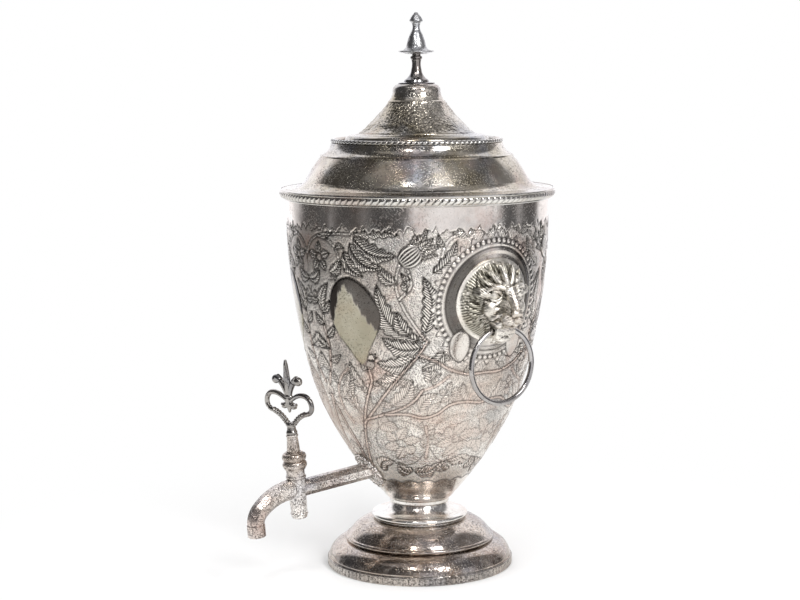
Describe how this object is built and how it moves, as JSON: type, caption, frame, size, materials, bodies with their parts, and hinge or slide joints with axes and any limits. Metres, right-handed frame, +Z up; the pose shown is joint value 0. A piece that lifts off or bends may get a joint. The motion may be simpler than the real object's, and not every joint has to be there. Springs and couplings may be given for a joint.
{
  "type": "samovar",
  "caption": "Footed hot-water urn with an egg-shaped bowl, lift-off stepped lid with a finial, lion-mask ring handles and a low key-operated tap.",
  "frame": {"origin": "on the table under the urn's axis, at the middle of the foot's lower face", "axes": "+Z up along the urn's axis, -Y along the tap, +X and -X through the two lion masks"},
  "size_m": [0.256, 0.274, 0.45],
  "materials": {
    "engraved_silver": "silver plate, stippled and engraved, tarnished in the cuts",
    "fastener_brass": "turned brass, dull",
    "finial_silver": "turned, silver plated, dark in the grooves",
    "foot_border": "silver plate with a worn relief border",
    "foot_silver": "silver plate, polished and finely pitted, tarnished",
    "gasket_fibre": "dark red fibre washer",
    "key_silver": "cast, silver plated, dark tarnish",
    "lid_silver": "silver plate, polished and finely pitted, tarnished",
    "mask_silver": "cast and chased, silver plated, greenish tarnish",
    "plug_silver": "turned brass, silver plated",
    "rim_silver": "silver plate, bright along the fillets",
    "ring_silver": "silver plated drawn wire, bright",
    "rope_silver": "silver plate, roped border with dark cuts",
    "tap_silver": "cast and chased, silver plated, pinkish where worn"
  },
  "bodies": {
    "urn": {"body_shell": "engraved_silver", "foot_band": "foot_border", "foot_shell": "foot_silver", "lion_mask_left": "mask_silver", "lion_mask_right": "mask_silver", "mask_nut_left": "fastener_brass", "mask_nut_right": "fastener_brass", "mask_washer_left": "fastener_brass", "mask_washer_right": "fastener_brass", "rim_band": "rim_silver", "rim_rope": "rope_silver", "stem": "foot_silver", "stem_bolt": "fastener_brass", "stem_gasket": "gasket_fibre", "stem_nut": "fastener_brass", "stem_washer": "fastener_brass", "tap_body": "tap_silver", "tap_bonnet": "tap_silver", "tap_cap": "tap_silver", "tap_escutcheon": "tap_silver", "tap_packing": "gasket_fibre", "tap_pipe": "tap_silver"},
    "lid": {"finial_base": "finial_silver", "finial_bell": "finial_silver", "finial_bud": "finial_silver", "finial_nut": "fastener_brass", "finial_stud": "fastener_brass", "finial_washer": "fastener_brass", "lid_bezel": "lid_silver", "lid_crown": "lid_silver", "lid_dome": "lid_silver", "lid_rope": "rope_silver"},
    "tap_handle": {"tap_plug": "plug_silver", "tap_key": "key_silver"},
    "ring_right": {"ring_right": "ring_silver"},
    "ring_left": {"ring_left": "ring_silver"}
  },
  "joints": [
    {"name": "lid_lift", "type": "slide", "parent": "urn", "child": "lid", "axis": [0, 0, 1], "range_m": [0, 0.15]},
    {"name": "tap_turn", "type": "hinge", "parent": "urn", "child": "tap_handle", "pos_m": [0, -0.1175, 0.0777], "axis": [0, -0.0872, 0.9962], "continuous": true},
    {"name": "ring_right_swing", "type": "hinge", "parent": "urn", "child": "ring_right", "pos_m": [0.1114, 0, 0.207], "axis": [0, -1, 0], "range_deg": [-22, 180]},
    {"name": "ring_left_swing", "type": "hinge", "parent": "urn", "child": "ring_left", "pos_m": [-0.1114, 0, 0.207], "axis": [0, 1, 0], "range_deg": [-22, 180]}
  ]
}
